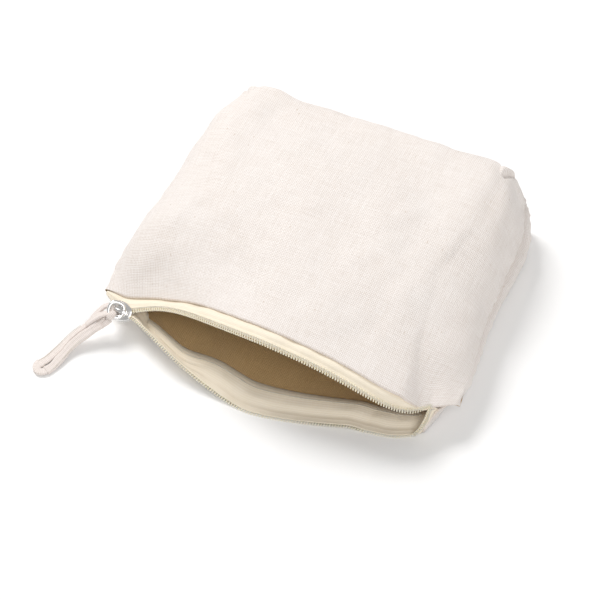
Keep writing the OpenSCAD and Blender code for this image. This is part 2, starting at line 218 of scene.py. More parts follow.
def skin(u, v, side):
    """The panels hang from the mouth; its sharp bends soften away from it."""
    u, v = np.broadcast_arrays(np.asarray(u, float), np.asarray(v, float))
    k = (1 - np.clip(v / 0.48, 0, 1)) ** 2
    us, soft = PULLS[side]
    sharp = mouth_at(u, side) - body_at(u, 0 * v, side)
    smooth = np.stack([np.interp(u, us, soft[:, i]) for i in range(3)], -1)
    w = ease(0.04, 0.2, v)[..., None]
    return body_at(u, v, side) + (sharp * (1 - w) + smooth * w) * k[..., None]


def unit(a):
    """The same directions, one long."""
    return a / np.maximum(np.linalg.norm(a, axis=-1, keepdims=True), 1e-9)


def skin_normal(u, v, side):
    """The way out of a panel, from its slopes."""
    e = 0.012
    du = skin(np.minimum(u + e, 1), v, side) - skin(np.maximum(u - e, -1), v, side)
    dv = skin(u, np.minimum(v + e, BASE_V), side) - skin(u, np.maximum(v - e, 0), side)
    return unit(np.cross(du, dv)) * side


# ---------------------------------------------------------------- mesh helpers
def rounded(a, p):
    """Radius of a rounded square of half side 1 in direction a; a larger p has sharper corners."""
    return (np.abs(np.cos(a)) ** p + np.abs(np.sin(a)) ** p) ** (-1 / p)


def arc_length(path):
    """Distance along a path, at each of its points."""
    return np.concatenate([[0], np.cumsum(np.linalg.norm(np.diff(path, axis=0), axis=1))])


def new_mesh(name, verts, faces, uv=None):
    """A smooth object from points in mm."""
    me = bpy.data.meshes.new(name)
    me.from_pydata((np.asarray(verts) * MM).tolist(), [], faces)
    if uv is not None:
        layer = me.uv_layers.new(name="UVMap")
        loops = np.zeros(len(me.loops), dtype=np.int32)
        me.loops.foreach_get("vertex_index", loops)
        layer.data.foreach_set("uv", np.asarray(uv)[loops].ravel())
    me.polygons.foreach_set("use_smooth", [True] * len(me.polygons))
    me.update()
    ob = bpy.data.objects.new(name, me)
    bpy.context.scene.collection.objects.link(ob)
    return ob


def grid_quads(nr, nc, flip):
    """Faces between nr rows of nc points."""
    i, j = np.meshgrid(np.arange(nr - 1), np.arange(nc - 1), indexing="ij")
    a = i * nc + j
    q = np.stack([a, a + 1, a + nc + 1, a + nc], -1).reshape(-1, 4)
    return (q[:, ::-1] if flip else q).tolist()


def shell(name, rings, uv_rings, flip=False):
    """A skin made of rings of points: rings is (n, m, 3), and the last ring joins the first."""
    n, m = rings.shape[:2]
    faces = grid_quads(n, m, flip)
    q = [[(n - 1) * m + j, (n - 1) * m + j + 1, j + 1, j] for j in range(m - 1)]
    faces += [f[::-1] for f in q] if flip else q
    return new_mesh(name, rings.reshape(-1, 3), faces, uv_rings.reshape(-1, 2))


def waves(a, b, seed, count, shortest, longest):
    """Smooth repeatable unevenness, about -1 to 1, over coordinates a and b in mm."""
    rng = np.random.RandomState(seed)
    total = np.zeros(np.broadcast(a, b).shape)
    for _ in range(count):
        k = 2 * math.pi / rng.uniform(shortest, longest)
        t, ph = rng.uniform(0, 2 * math.pi), rng.uniform(0, 2 * math.pi)
        total = total + np.sin(k * (a * math.cos(t) + b * math.sin(t)) + ph)
    return total / math.sqrt(count)


def bar_faces(n, m, closed=False):
    """Faces of a bar made of n rings of m points: open bars get two end caps."""
    faces = []
    for i in range(n if closed else n - 1):
        a, b = i * m, (i + 1) % n * m
        faces += [[a + j, a + (j + 1) % m, b + (j + 1) % m, b + j] for j in range(m)]
    if not closed:
        faces += [list(range(m))[::-1], [(n - 1) * m + j for j in range(m)]]
    return faces


def tube(name, path, radius, sides=8, closed=False):
    """A round bar along a path of points, with frames carried along it."""
    path = np.asarray(path, float)
    n = len(path)
    tan = unit(np.roll(path, -1, 0) - np.roll(path, 1, 0)) if closed else unit(np.gradient(path, axis=0))
    ref = np.array([0.0, 0.0, 1.0]) if abs(tan[0][2]) < 0.9 else np.array([1.0, 0, 0])
    side = np.zeros_like(path)
    cur = unit(np.cross(tan[0], ref))
    for i in range(n):
        cur = unit(cur - tan[i] * np.dot(cur, tan[i]))
        side[i] = cur
    up = np.cross(tan, side)
    ang = np.linspace(0, 2 * math.pi, sides, endpoint=False)
    rad = np.broadcast_to(np.asarray(radius, float), (n,))
    pts = path[:, None] + rad[:, None, None] * (
        np.cos(ang)[None, :, None] * side[:, None] + np.sin(ang)[None, :, None] * up[:, None])
    uv = np.stack(np.broadcast_arrays(arc_length(path)[:, None], ang[None, :] * rad.mean()), -1)
    return new_mesh(name, pts.reshape(-1, 3), bar_faces(n, sides, closed), uv.reshape(-1, 2))


def join(name, parts):
    """One object from several."""
    bpy.ops.object.select_all(action="DESELECT")
    for p in parts:
        p.select_set(True)
    bpy.context.view_layer.objects.active = parts[0]
    bpy.ops.object.join()
    ob = bpy.context.view_layer.objects.active
    ob.name = name
    ob.data.name = name
    return ob


# ---------------------------------------------------------------- materials
class Nodes:
    """Small helper that builds a material's node tree."""

    def __init__(self, name):
        self.mat = bpy.data.materials.new(name)
        self.mat.use_nodes = True
        self.t = self.mat.node_tree
        self.t.nodes.clear()
        self.out = self.add("ShaderNodeOutputMaterial")
        self.bsdf = self.add("ShaderNodeBsdfPrincipled")
        self.t.links.new(self.bsdf.outputs[0], self.out.inputs["Surface"])

    def add(self, kind, **props):
        n = self.t.nodes.new(kind)
        for k, v in props.items():
            setattr(n, k, v)
        return n

    def put(self, sock, val):
        if isinstance(val, bpy.types.NodeSocket):
            self.t.links.new(val, sock)
        else:
            sock.default_value = val

    def math(self, op, a, b=0.0, c=None):
        n = self.add("ShaderNodeMath", operation=op)
        self.put(n.inputs[0], a)
        self.put(n.inputs[1], b)
        if c is not None:
            self.put(n.inputs[2], c)
        return n.outputs[0]

    def mix(self, fac, a, b):
        n = self.add("ShaderNodeMix", data_type="RGBA")
        self.put(n.inputs[0], fac)
        self.put(n.inputs[6], a)
        self.put(n.inputs[7], b)
        return n.outputs[2]

    def ramp(self, fac, lo, hi, a=0.0, b=1.0):
        n = self.add("ShaderNodeMapRange")
        for i, v in enumerate((fac, lo, hi, a, b)):
            self.put(n.inputs[i], v)
        return n.outputs[0]

    def noise(self, vec, scale, detail=2.0, rough=0.5, stretch=(1, 1, 1)):
        m = self.add("ShaderNodeMapping")
        self.put(m.inputs["Vector"], vec)
        m.inputs["Scale"].default_value = stretch
        n = self.add("ShaderNodeTexNoise")
        self.put(n.inputs["Vector"], m.outputs[0])
        n.inputs["Scale"].default_value = scale
        n.inputs["Detail"].default_value = detail
        n.inputs["Roughness"].default_value = rough
        return n.outputs["Fac"]

    def bump(self, height, dist, strength):
        n = self.add("ShaderNodeBump")
        n.inputs["Strength"].default_value = strength
        n.inputs["Distance"].default_value = dist
        self.put(n.inputs["Height"], height)
        return n.outputs[0]

    def uv(self):
        return self.add("ShaderNodeUVMap", uv_map="UVMap").outputs[0]


def rgb(r, g, b):
    """An 8-bit screen colour as linear light."""
    return tuple(((c / 255 + 0.055) / 1.055) ** 2.4 for c in (r, g, b)) + (1.0,)


def canvas_material(name, light, dark, pitch=0.95, bump=0.16):
    """Plain weave of slubby cotton threads. The UV map is in millimetres along the threads."""
    m = Nodes(name)
    uv = m.uv()
    sep = m.add("ShaderNodeSeparateXYZ")
    m.put(sep.inputs[0], uv)
    wob_x = m.noise(uv, 0.35, 3, 0.6, (1.0, 0.25, 1))
    wob_y = m.noise(uv, 0.35, 3, 0.6, (0.25, 1.0, 1))
    x = m.math("MULTIPLY_ADD", m.math("SUBTRACT", wob_x, 0.5), 0.55, sep.outputs[0])
    y = m.math("MULTIPLY_ADD", m.math("SUBTRACT", wob_y, 0.5), 0.55, sep.outputs[1])
    k = math.pi / pitch
    sx, sy = m.math("SINE", m.math("MULTIPLY", x, k)), m.math("SINE", m.math("MULTIPLY", y, k))
    cx, cy = m.math("COSINE", m.math("MULTIPLY", x, k)), m.math("COSINE", m.math("MULTIPLY", y, k))
    over = m.ramp(m.math("MULTIPLY", cx, cy), -0.35, 0.35)
    warp = m.math("POWER", m.math("ABSOLUTE", sx), 0.7)
    weft = m.math("POWER", m.math("ABSOLUTE", sy), 0.7)
    cross = m.math("MULTIPLY", warp, weft)
    under = m.math("SUBTRACT", 1.0, over)
    along = m.math("ADD", m.math("MULTIPLY", warp, over), m.math("MULTIPLY", weft, under))
    height = m.math("MULTIPLY_ADD", cross, 0.6, m.math("MULTIPLY", along, 0.4))
    slub_w = m.noise(uv, 1.0, 2, 0.5, (1.05, 0.07, 1))
    slub_h = m.noise(uv, 1.0, 2, 0.5, (0.07, 1.05, 1))
    slub = m.math("ADD", m.math("MULTIPLY", slub_w, over), m.math("MULTIPLY", slub_h, under))
    fine = m.noise(uv, 3.2, 3, 0.6)
    cloud = m.noise(uv, 0.03, 3, 0.5)
    # colour follows the weave's height: its low parts between threads are painted darker, painted shade in
    # the hollows; the slubs add the yarn's own uneven colour
    weave_shade_and_slub = m.math("ADD", m.math("MULTIPLY", height, 0.55), m.math("MULTIPLY", slub, 0.55))
    col = m.mix(m.ramp(weave_shade_and_slub, 0.25, 0.85), dark, light)
    col = m.mix(m.ramp(cloud, 0.35, 0.7, 0.0, 0.25), col, tuple(c * 0.93 for c in light[:3]) + (1,))
    fleck = m.noise(uv, 0.9, 1, 0.4, (1.0, 0.35, 1))
    seed_husk = (dark[0] * 0.8, dark[1] * 0.7, dark[2] * 0.58, 1)
    col = m.mix(m.ramp(fleck, 0.73, 0.8, 0.0, 0.5), col, seed_husk)
    m.put(m.bsdf.inputs["Base Color"], col)
    m.put(m.bsdf.inputs["Roughness"], m.ramp(fine, 0.3, 0.7, 0.84, 0.96))
    m.bsdf.inputs["Specular IOR Level"].default_value = 0.22
    m.bsdf.inputs["Sheen Weight"].default_value = 0.25
    m.bsdf.inputs["Sheen Roughness"].default_value = 0.5
    h = m.math("ADD", height, m.math("MULTIPLY", m.math("ADD", slub, fine), 0.22))
    m.put(m.bsdf.inputs["Normal"], m.bump(h, bump * MM, 0.9))
    return m.mat


def tape_material(name):
    """Cream knitted zip tape: fine ribs across it, and rows along it."""
    m = Nodes(name)
    uv = m.uv()
    sep = m.add("ShaderNodeSeparateXYZ")
    m.put(sep.inputs[0], uv)
    slant = m.math("ADD", sep.outputs[0], m.math("MULTIPLY", sep.outputs[1], 0.8))
    diag = m.math("MULTIPLY", slant, 2 * math.pi / 0.7)
    rows = m.math("SINE", m.math("MULTIPLY", sep.outputs[1], 2 * math.pi / 0.9))
    ribs = m.math("SINE", diag)
    fine = m.noise(uv, 2.5, 3, 0.6)
    h = m.math("ADD", m.math("MULTIPLY", ribs, 0.5), m.math("MULTIPLY", rows, 0.35))
    # colour follows the rib and row heights: their low parts are painted darker, painted shade in the knit's
    # hollows
    col = m.mix(m.ramp(h, -0.8, 0.8), rgb(242, 228, 204), rgb(253, 245, 230))
    col = m.mix(m.ramp(m.noise(uv, 0.12, 2, 0.5), 0.35, 0.7, 0.0, 0.3), col, rgb(244, 231, 206))
    m.put(m.bsdf.inputs["Base Color"], col)
    m.put(m.bsdf.inputs["Roughness"], m.ramp(fine, 0.3, 0.7, 0.6, 0.75))
    m.bsdf.inputs["Sheen Weight"].default_value = 0.15
    m.bsdf.inputs["Specular IOR Level"].default_value = 0.3
    m.put(m.bsdf.inputs["Normal"], m.bump(m.math("ADD", h, fine), 0.07 * MM, 0.8))
    return m.mat


def coil_material(name):
    """Cream nylon monofilament."""
    m = Nodes(name)
    pos = m.add("ShaderNodeNewGeometry").outputs["Position"]
    n = m.noise(pos, 700, 2, 0.5)
    m.put(m.bsdf.inputs["Base Color"], m.mix(m.ramp(n, 0.3, 0.7), rgb(240, 230, 204), rgb(250, 245, 228)))
    m.put(m.bsdf.inputs["Roughness"], m.ramp(n, 0.3, 0.7, 0.32, 0.45))
    m.bsdf.inputs["Subsurface Weight"].default_value = 0.12
    m.bsdf.inputs["Subsurface Radius"].default_value = (0.001, 0.0008, 0.0005)
    m.put(m.bsdf.inputs["Normal"], m.bump(n, 0.02 * MM, 0.4))
    return m.mat


def thread_material(name):
    """Twisted sewing thread."""
    m = Nodes(name)
    uv = m.uv()
    sep = m.add("ShaderNodeSeparateXYZ")
    m.put(sep.inputs[0], uv)
    slant = m.math("ADD", sep.outputs[0], m.math("MULTIPLY", sep.outputs[1], 1.6))
    ply = m.math("SINE", m.math("MULTIPLY", slant, 14.0))
    # the ply grooves are painted darker: painted shade in the twist
    m.put(m.bsdf.inputs["Base Color"], m.mix(m.ramp(ply, -1, 1), rgb(226, 218, 200), rgb(250, 246, 236)))
    m.bsdf.inputs["Roughness"].default_value = 0.55
    m.bsdf.inputs["Sheen Weight"].default_value = 0.2
    m.put(m.bsdf.inputs["Normal"], m.bump(ply, 0.05 * MM, 0.8))
    return m.mat


def metal_material(name):
    """Bright nickel plate with faint tumbling marks."""
    m = Nodes(name)
    pos = m.add("ShaderNodeTexCoord").outputs["Object"]
    n = m.noise(pos, 420, 4, 0.6)
    big = m.noise(pos, 90, 3, 0.5)
    m.put(m.bsdf.inputs["Base Color"], m.mix(m.ramp(big, 0.3, 0.7), rgb(226, 225, 223), rgb(242, 241, 240)))
    m.bsdf.inputs["Metallic"].default_value = 1.0
    m.put(m.bsdf.inputs["Roughness"], m.ramp(n, 0.3, 0.75, 0.12, 0.3))
    m.put(m.bsdf.inputs["Normal"], m.bump(n, 0.03 * MM, 0.25))
    return m.mat


CANVAS = canvas_material("canvas", rgb(251, 246, 243), rgb(213, 200, 189))
# the inside is the same cream canvas painted darker and golden: painted shade, with a warm cast of light
# bounced inside the pouch
INSIDE_SHADED = canvas_material("canvas_inside_painted_shade", rgb(216, 184, 134), rgb(162, 128, 80))
STRAP = canvas_material("strap_canvas", rgb(249, 241, 237), rgb(212, 198, 187), pitch=0.8, bump=0.12)
TAPE = tape_material("zip_tape")
COIL = coil_material("coil_nylon")
THREAD = thread_material("thread")
METAL = metal_material("nickel")


def paint(ob, *mats):
    """Give an object its materials."""
    ob.data.materials.clear()
    for m in mats:
        ob.data.materials.append(m)
    return ob


# ---------------------------------------------------------------- panels
def bell(x, width):
    """A soft bump: 1 at 0, about a third at width."""
    return np.exp(-((x / width) ** 2))


def seam_relief(V, du, dv, seed):
    """Side and base seams: a narrow valley with a small roll beside it, and puckers along it."""
    yy = V * V_MM
    valley = -1.5 * bell(du, 1.0) + 0.8 * bell(du - 3.0, 1.8)
    wander = 1.5 * waves(yy, 0 * yy, seed, 3, 20, 40)
    pucker = 0.32 * bell(du, 8.0) * np.sin(yy * 2 * math.pi / 7.5 + wander)
    return (valley + pucker * ease(0, 3, du)) * ease(0.0, 0.05, V) - 1.1 * bell(dv, 1.1) * (V > CORNER_V)


def corner_relief(U, V):
    """The boxed corner's short seam, and the dimple at its end."""
    at_wall = ease(WALL_U - 0.03, WALL_U + 0.02, np.abs(U))
    dimple = np.hypot((np.abs(U) - WALL_U) * U_MM, (V - 1.12) * 60)
    return -1.0 * bell((V - CORNER_V) * 60, 1.4) * at_wall - 1.6 * bell(dimple, 3.0)


def tuck_relief(U, V):
    """The tuck in front of each boxed corner: a short slit with a fold puffed up over it."""
    # mm from the tuck's start: down the cloth, and out towards the side seam
    down = 133 * np.minimum(V, 1) + 47 * np.clip(V - 1, 0, 0.2) - 131.1
    aside = (np.abs(U) - 0.81) * 150
    s, q = 0.64 * aside + 0.77 * down, 0.64 * down - 0.77 * aside
    reach = ease(-1.5, 1.5, s) * (1 - ease(8, 13, s)) * (V < 1.3) * np.where(U > 0, 1.0, 0.5)
    return reach * (1.7 * bell(q - 3.4, 2.3) - 2.4 * bell(q, 1.15))


def front_relief(U, V, du, fade):
    """Soft unevenness of cloth over a loose filling, and faint pulls that run in from the corners."""
    xx, yy = U * U_MM, V * V_MM
    d = 0.85 * waves(xx, yy, 11, 9, 34, 95) * fade * ease(0, 14, du)
    d = d + 0.22 * waves(xx, yy, 23, 12, 11, 26) * fade * ease(0, 6, du)
    for cx, cy, tx, ty, amp, wid in (
        (-100, 0, -40, 50, 0.7, 8), (-96, 12, -62, 62, 0.5, 7), (102, 0, 60, 40, 0.35, 9),
        (84, 135, 50, 98, 0.7, 8), (-84, 135, -52, 100, 0.6, 8)):
        ax, ay = tx - cx, ty - cy
        ln = math.hypot(ax, ay)
        s = ((xx - cx) * ax + (yy - cy) * ay) / ln
        q = ((xx - cx) * ay - (yy - cy) * ax) / ln
        along = ease(0, 12, s) * (1 - ease(ln * 0.5, ln * 1.25, s))
        d = d + amp * bell(q, wid) * along * fade * ease(0, 8, du)
    return d


def back_relief(U, V, z, du, fade):
    """Soft unevenness of the back panel's walls, and a rim along the side seams."""
    xx, yy = U * U_MM, V * V_MM
    soft = 0.6 * waves(xx, yy, 31, 8, 25, 70) + 0.2 * waves(xx, yy, 37, 8, 9, 20)
    rim = bell(du - 4.0, 3.0) * (1 - ease(1.0, CORNER_V, V)) * ease(0, 2, du)
    return fade * (soft * ease(0.5, 6.0, z) * ease(0, 5, du) + np.where(U > 0, 2.3, 0.8) * rim)


def panel_outer(u, v, side):
    """The outside of a panel with its seams, puckers and soft unevenness."""
    U, V = np.meshgrid(u, v)
    p = skin(U, V, side)
    n = skin_normal(U, V, side)
    # both panels move along the same direction where they are sewn together
    base = V > BASE_V - 1e-4
    edge = np.abs(U) > 0.9999
    n = np.where(base[..., None], xyz(0 * U, 1 + 0 * U, 0 * U), n)
    n = np.where(edge[..., None], unit(xyz(np.sign(U), np.where(V > CORNER_V - 0.02, 1.0, 0.0), 0 * U)), n)
    height = top_at(0) - SEAM_H if side > 0 else SEAM_H
    du = (1 - np.abs(U)) * height / (1 - WALL_U)
    dv = (BASE_V - V) * 48
    fade = ease(0.0, 0.12, V) * ease(0, 9, dv)
    d = seam_relief(V, du, dv, 7 + side) + corner_relief(U, V)
    if side > 0:
        d = d + tuck_relief(U, V) + front_relief(U, V, du, fade)
    else:
        d = d + back_relief(U, V, p[..., 2], du, fade)
    return p + n * d[..., None], U, V


def grid_normals(p, side):
    """The way out of a panel, from its own points."""
    a = np.gradient(p, axis=1)
    b = np.gradient(p, axis=0)
    return unit(np.cross(a, b)) * side


def arc_uv(p):
    """Distances along the cloth, in mm: across from the middle column, and along it."""
    middle = p.shape[1] // 2
    across = np.array([arc_length(row) for row in p])
    across = across - across[:, middle][:, None]
    along = arc_length(p[:, middle])
    return np.stack([across, np.broadcast_to(along[:, None], across.shape)], -1)


half = np.concatenate([
    np.linspace(0, 0.74, 56)[:-1], np.linspace(0.74, 0.9, 27)[:-1], np.linspace(0.9, 0.985, 14)[:-1],
    np.linspace(0.985, 1, 6)])
ua = np.concatenate([-half[:0:-1], half])
va = np.concatenate([
    np.linspace(0, 0.06, 8)[:-1], np.linspace(0.06, 0.94, 90)[:-1], np.linspace(0.94, 1.0, 13)[:-1],
    np.linspace(1.0, 1.25, 22)[:-1], np.linspace(1.25, 1.62, 16)[:-1], np.linspace(1.62, BASE_V, 7)])


def hem_t(v):
    """Canvas thickness: doubled where it is turned in at the mouth."""
    return CANVAS_T + 0.7 * (1 - ease(0.03, 0.075, v))


def make_panel(name, side):
    """A canvas panel: its outside, the turned-in edge at the mouth, and its inside."""
    p, U, V = panel_outer(ua, va, side)
    n = grid_normals(p, side)
    # the layers thin out where two panels are sewn together
    reach = 1.6 + 9 * (1 - ease(0.0, 0.16, V)) + 9 * ease(0.9, 1.0, V)
    corner = bell(V - CORNER_V, 0.08) * ease(WALL_U - 0.03, WALL_U + 0.02, np.abs(U))
    t = hem_t(V) * (0.06 + 0.94 * ease(0, reach, (1 - np.abs(U)) * 100)) * (1 - 0.9 * corner)
    t = t[..., None]
    inner = p - n * t
    uv = arc_uv(p)
    # the turned-in edge at the mouth: a half-round nose between outside and inside
    back = unit(p[0] - p[1])
    nose = []
    for a in np.linspace(0, math.pi, 7)[1:-1]:
        mid, r = (p[0] + inner[0]) / 2, t[0] / 2
        nose.append(mid + n[0] * r * math.cos(a) + back * r * math.sin(a))
    nose = np.array(nose)
    nuv = np.repeat(uv[:1], len(nose), 0)
    rings = np.concatenate([p[::-1], nose, inner], 0)
    uvs = np.concatenate([uv[::-1], nuv, uv], 0)
    nr, nc = rings.shape[:2]
    faces = grid_quads(nr, nc, side > 0)
    turn = -1 if side > 0 else 1
    last = (nr - 1) * nc
    faces += [[last + j, last + j + 1, j + 1, j][::turn] for j in range(nc - 1)]
    rows, k = len(va), len(nose)
    for j in (0, nc - 1):
        for i in range(rows - 1):
            a, b = i * nc + j, (i + 1) * nc + j
            c, e = (nr - 2 - i) * nc + j, (nr - 1 - i) * nc + j
            q = [a, b, c, e] if (j == 0) == (side > 0) else [a, e, c, b]
            faces.append(q)
    ob = new_mesh(name, rings.reshape(-1, 3), faces, uvs.reshape(-1, 2))
    # the inner faces take the darker golden canvas, which is painted shade
    paint(ob, CANVAS, INSIDE_SHADED)
    idx = np.zeros(len(ob.data.polygons), dtype=np.int32)
    first_inner = (rows + k) * (nc - 1)
    idx[first_inner:nr * (nc - 1)] = 1
    ob.data.polygons.foreach_set("material_index", idx)
    return ob


FRONT = make_panel("canvas_front", 1)
BACK = make_panel("canvas_back", -1)


# ---------------------------------------------------------------- zip tapes and coils
LEFT_END = np.array([-98.3, -69.5, 12.5])
RIGHT_END = {1: np.array([100.5, -67.5, 14.0]), -1: np.array([98.0, -65.5, 11.0])}


def coil_line(x, side):
    """The toothed edge of a tape, carried on past both zip ends into the pouch's corners."""
    x = np.asarray(x, float)
    c = coil_at(np.clip(x, ZIP_L, ZIP_R), side)
    a = np.clip((ZIP_L - x) / (ZIP_L - LEFT_END[0]), 0, 1)[..., None]
    b = np.clip((x - ZIP_R) / (RIGHT_END[side][0] - ZIP_R), 0, 1)[..., None]
    return c + a * (LEFT_END - c) + b * (RIGHT_END[side] - c)


def mouth_edge(x, side):
    """The canvas edge at the mouth, at x."""
    return mouth_at(lip_u(np.asarray(x, float)), side)


def skew(x, side):
    """How far the canvas edge slides along the back tape where the tape turns up at its right end."""
    return 5 * ease(80, 85, x) - 2 * ease(86, 91, x) if side < 0 else 0 * x


def tape_frame(x, side):
    """Edge point, direction across the tape, and the direction of its outer face."""
    c, m = coil_line(x, side), mouth_edge(x + skew(x, side), side)
    along = unit(coil_line(x + 0.4, side) - coil_line(x - 0.4, side))
    across = m - c
    wide = np.linalg.norm(across, axis=-1, keepdims=True)
    across = across / np.maximum(wide, 1e-6)
    out = unit(np.cross(along, across)) * side
    return c, m, across, out, wide


def make_tape(name, side):
    """A zip tape, from its toothed edge to the strip hidden under the canvas."""
    x = np.linspace(LEFT_END[0] + 0.2, 91.5 if side > 0 else 92.5, 260)
    c, m, across, out, wide = tape_frame(x, side)
    u = lip_u(x + skew(x, side))
    rows, arc = [], []
    ws = np.concatenate([np.linspace(0.03, 0.92, 16), [0.97]])
    ripple = 0.22 * waves(x, 0 * x, 41 + side, 4, 9, 24)[:, None]
    for w in ws:
        sink = COVER * ease(0.55, 1.0, w)
        crown = 0.35 * math.sin(math.pi * min(max(w, 0), 1)) - 0.28 * math.exp(-(((w - 0.36) / 0.05) ** 2))
        rows.append(c + (m - c) * w + out * (crown + ripple * ease(0, 0.5, w) - sink))
        arc.append(wide[:, 0] * w)
    n1 = skin_normal(u, 0.02 + 0 * u, side)
    for k, v in enumerate((0.006, 0.02, 0.037)):
        rows.append(skin(u, v + 0 * u, side) - n1 * (COVER + 0.35 + 0.1 * k))
        arc.append(wide[:, 0] + 139 * v)
    p = np.array(rows)
    n = grid_normals(p, side)
    inner = p - n * TAPE_T
    rings = np.concatenate([p, inner[::-1]], 0)
    uv = np.stack([np.broadcast_to(arc_length(c), (len(rows), len(x))), np.array(arc)], -1)
    uvs = np.concatenate([uv, uv[::-1]], 0)
    ob = shell(name, rings, uvs, flip=side < 0)
    return paint(ob, TAPE)


def make_coil(name, side, x0, x1, pitch=1.5):
    """A flattened helix of nylon on the tape's outer face, whose heads stand out past its edge."""
    xs = np.linspace(x0, x1, 900)
    arc = arc_length(coil_line(xs, side))
    turns = int(arc[-1] / pitch)
    per = 14
    s = np.linspace(0, turns, turns * per + 1)
    if side < 0:
        s = s + 0.5
    x = np.interp(s * pitch, arc, xs)
    c, _, across, out, _ = tape_frame(x, side)
    ph = 2 * math.pi * s
    half_w, half_t = 1.35, 0.62
    off = across * (0.45 + half_w * np.cos(ph))[:, None]
    off = off + out * (0.55 + half_t * np.sin(ph))[:, None]
    path = c + off
    thick = 0.29 + 0.1 * np.clip(-np.cos(ph), 0, 1) ** 4
    ob = tube(name, path, thick, 6)
    return paint(ob, COIL)


def chain_stitch(name, side, w, x0, x1, step=2.1):
    """A row of sewing that holds the coil to its tape, with a dip between stitches."""
    xs = np.linspace(x0, x1, 900)
    arc = arc_length(coil_line(xs, side))
    n = int(arc[-1] / step * 8)
    s = np.linspace(0, arc[-1], n)
    x = np.interp(s, arc, xs)
    c, _, across, out, _ = tape_frame(x, side)
    lift = 1.4 + 0.12 * np.abs(np.sin(math.pi * s / step)) ** 0.6
    ob = tube(name, c + across * w + out * lift[:, None], 0.15, 5)
    return paint(ob, THREAD)


parts = {}
for side, tag in ((1, "front"), (-1, "back")):
    parts["tape", side] = make_tape("tape_" + tag, side)
    parts["coil", side] = make_coil("coil_teeth_" + tag, side, ZIP_L + 3.5, ZIP_R + 1.0)
    st = [chain_stitch("coil_sewing_a_" + tag, side, 0.55, ZIP_L + 3.5, ZIP_R + 1.0),
          chain_stitch("coil_sewing_b_" + tag, side, 1.25, ZIP_L + 3.5, ZIP_R + 1.0)]
    parts["sew", side] = join("coil_sewing_" + tag, st)


def seam_thread(name, side):
    """The hidden row that joins tape and canvas, under the turned-in edge."""
    x = np.linspace(ZIP_L + 14, ZIP_R - 6.5, 420)
    u = lip_u(x)
    p = skin(u, 0.02 + 0 * u, side) - skin_normal(u, 0.02 + 0 * u, side) * 2.95
    s = np.arange(len(x)) * 0.42
    p = p - skin_normal(u, 0.02 + 0 * u, side) * (0.12 * np.abs(np.sin(math.pi * s / 2.6)))[:, None]
    return paint(tube(name, p, 0.2, 5), THREAD)


for side, tag in ((1, "front"), (-1, "back")):
    parts["thread", side] = seam_thread("seam_thread_" + tag, side)

# ---------------------------------------------------------------- seam allowances inside
def allowance(name, base, inward, seed):
    """Two raw canvas edges pressed together, ruffled a little, with overlock thread round the edge."""
    s = arc_length(base)
    tan = unit(np.gradient(base, axis=0))
    nrm = unit(np.cross(tan, inward))
    rows, uvr = [], []
    ws = np.linspace(0, 1, 9)
    for sgn in (1, -1):
        for w in (ws if sgn > 0 else ws[::-1]):
            wob = 0.5 * w * waves(s, 0 * s, seed, 4, 14, 40)
            rows.append(base + inward * ALLOWANCE_W * w + nrm * (wob + sgn * 0.55)[:, None])
            uvr.append(np.stack([s, 0 * s + ALLOWANCE_W * w], -1))
    ob = shell(name, np.array(rows), np.array(uvr))
    # the allowances take the same darker golden canvas, painted shade inside the pouch
    paint(ob, INSIDE_SHADED)
    k = np.linspace(0, s[-1], int(s[-1] / OVERLOCK_STEP) * 10)
    b = np.stack([np.interp(k, s, base[:, i]) for i in range(3)], -1)
    iw = unit(np.stack([np.interp(k, s, inward[:, i]) for i in range(3)], -1))
    nn = unit(np.stack([np.interp(k, s, nrm[:, i]) for i in range(3)], -1))
    wob = 0.5 * np.interp(k, s, waves(s, 0 * s, seed, 4, 14, 40))
    ph = 2 * math.pi * k / OVERLOCK_STEP
    path = b + iw * (ALLOWANCE_W - 1.3 + 1.55 * np.cos(ph))[:, None] + nn * (wob + 0.78 * np.sin(ph))[:, None]
    th = paint(tube(name + "_overlock", path, 0.16, 5), THREAD)
    return ob, th


def side_line(s):
    """Where a side seam's allowance starts, and the way it points; s is 1 on the right."""
    v = np.linspace(0.26, 0.88, 70)
    p = skin(s + 0 * v, v, 1) + np.array([-s * (CANVAS_T + 2.8), 0, -0.2])
    d = unit(np.broadcast_to(np.array([-s, 0, -0.35]), p.shape))
    return p, d


def base_line():
    """The same for the base seam."""
    u = np.linspace(-0.86, 0.86, 90)
    p = skin(u, BASE_V + 0 * u, 1) + np.array([0, -CANVAS_T - 2.0, 0])
    return p, unit(np.broadcast_to(np.array([0, -1, -0.3]), p.shape))


def corner_line(s):
    """The same for a boxed corner's seam."""
    z = np.linspace(8, 36, 24)
    inn = np.where(z > SEAM_H, 0.36 * (z - SEAM_H), 0.04 * (z - SEAM_H))
    p = xyz(MID_X + s * (half_at(BASE_Y) - inn - 5.0), BASE_Y - 4.6, z)
    return p, unit(np.broadcast_to(np.array([-s, -1, 0.0]), p.shape))


inner_bits = []
for nm, (p, d), seed in (
    ("side_allowance_left", side_line(-1), 51), ("side_allowance_right", side_line(1), 52),
    ("base_allowance", base_line(), 53),
    ("corner_allowance_left", corner_line(-1), 54), ("corner_allowance_right", corner_line(1), 55)):
    cloth, over = allowance("cloth_" + nm, p, d, seed)
    inner_bits.append((nm, cloth, over))

# ---------------------------------------------------------------- slider
TILT = math.radians(90 - 56)
SL = np.array([ZIP_L + 2.3, ZIP_Y, chord_z(ZIP_L + 2.3)])


def to_world(v):
    """The slider's own frame, x along the zip and z out of it, to the pouch's."""
    v = np.asarray(v, float)
    c, s = math.cos(TILT), math.sin(TILT)
    return SL + np.stack([v[..., 0], v[..., 1] * c - v[..., 2] * s, v[..., 1] * s + v[..., 2] * c], -1)


